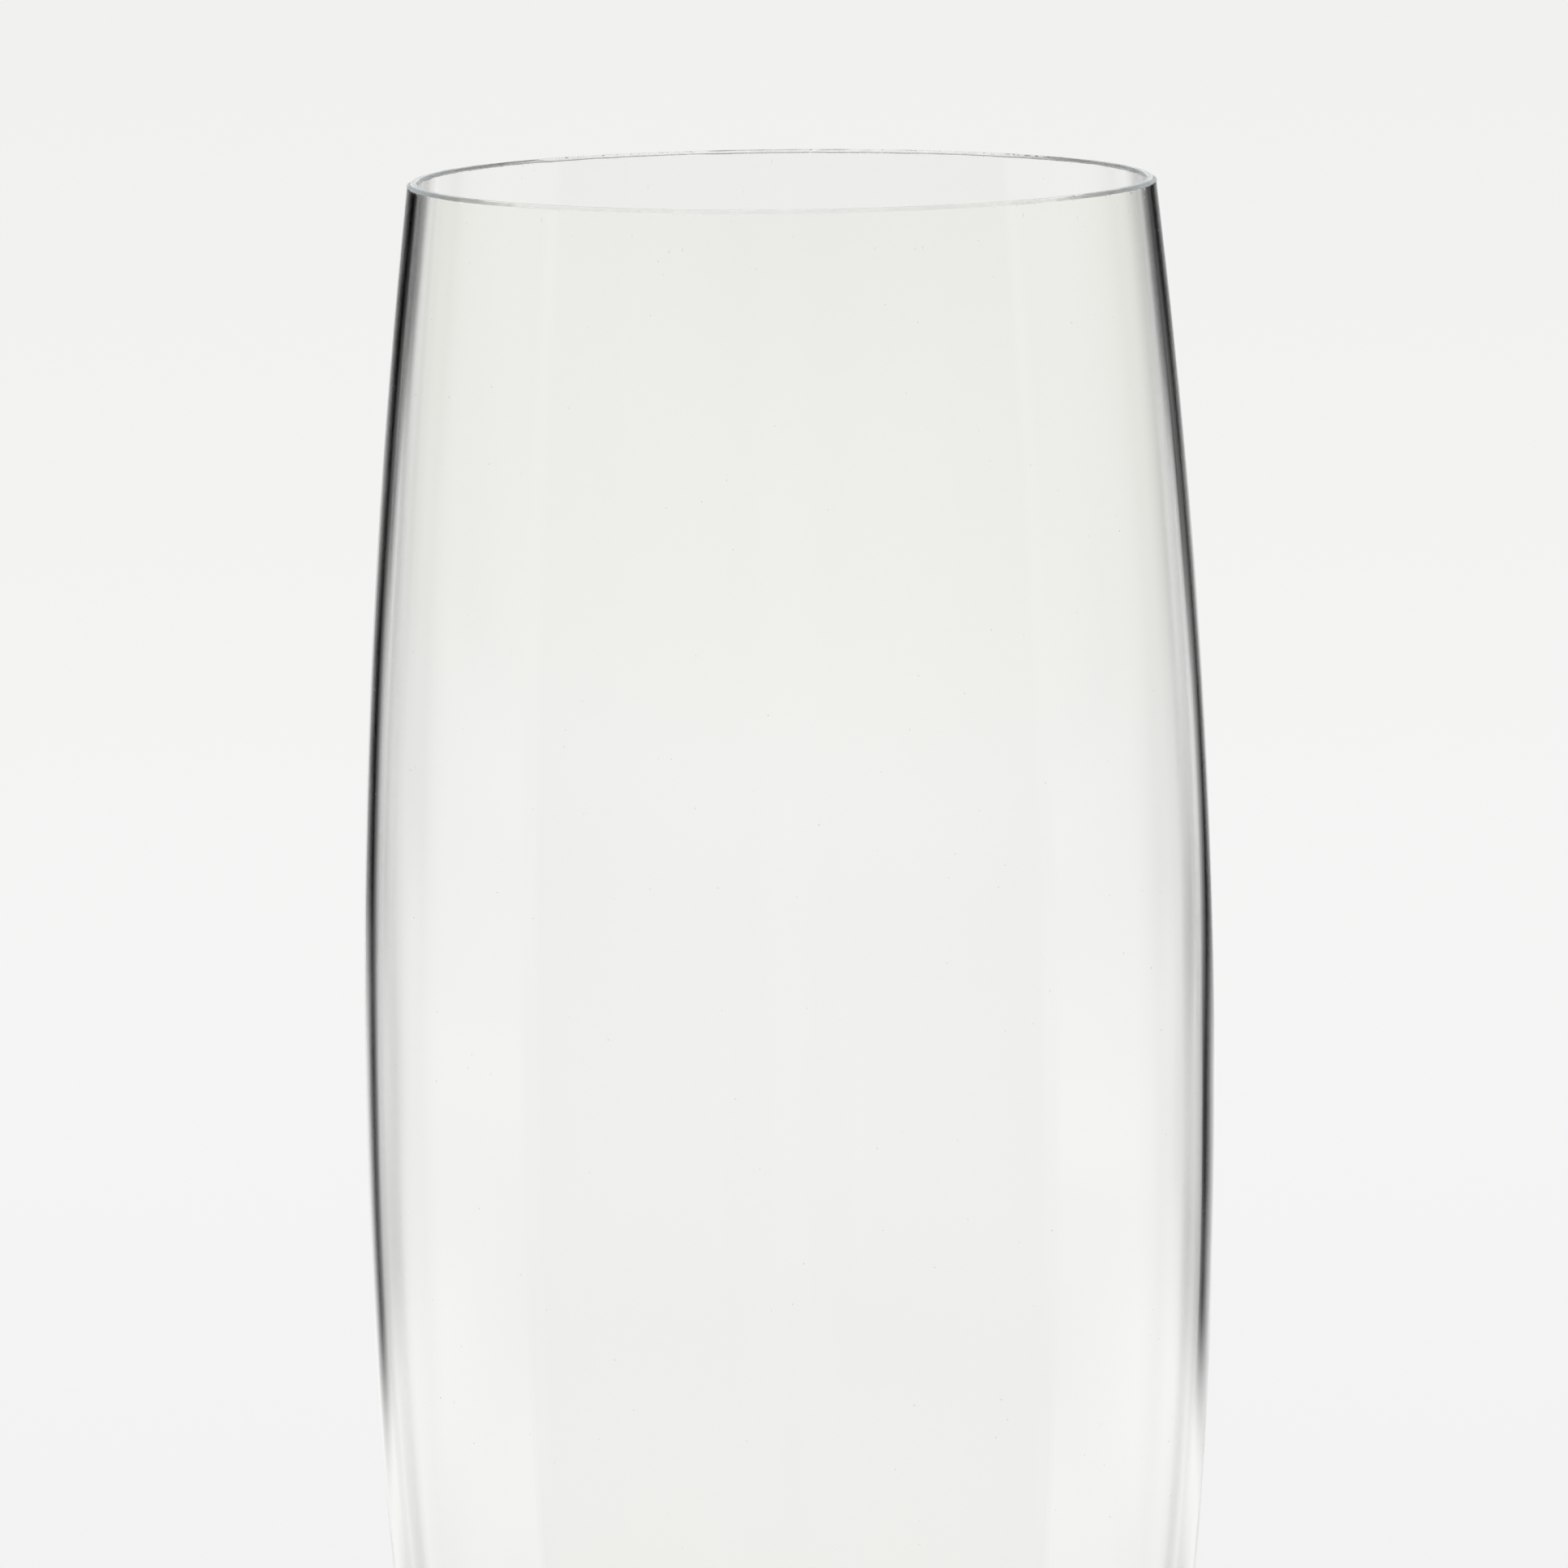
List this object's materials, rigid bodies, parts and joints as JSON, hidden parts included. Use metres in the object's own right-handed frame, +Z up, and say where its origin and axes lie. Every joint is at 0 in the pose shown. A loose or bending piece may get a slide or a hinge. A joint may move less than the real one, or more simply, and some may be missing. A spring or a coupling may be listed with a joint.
{
  "type": "champagne glass",
  "caption": "Tall champagne glass: slim blown bowl with a cut rim, drawn stem and round foot, in clear glass, for serving sparkling wine.",
  "frame": {"origin": "centre of the foot on the plane that the glass stands on", "axes": "+Z up along the axis of the bowl, stem and foot; the glass is round, so +X and +Y are any two square directions"},
  "size_m": [0.068, 0.068, 0.2406],
  "materials": {
    "clear_glass": "clear, fire-polished, with a ground rim"
  },
  "bodies": {
    "root": {"bowl": "clear_glass", "stem": "clear_glass", "foot": "clear_glass"}
  },
  "joints": []
}
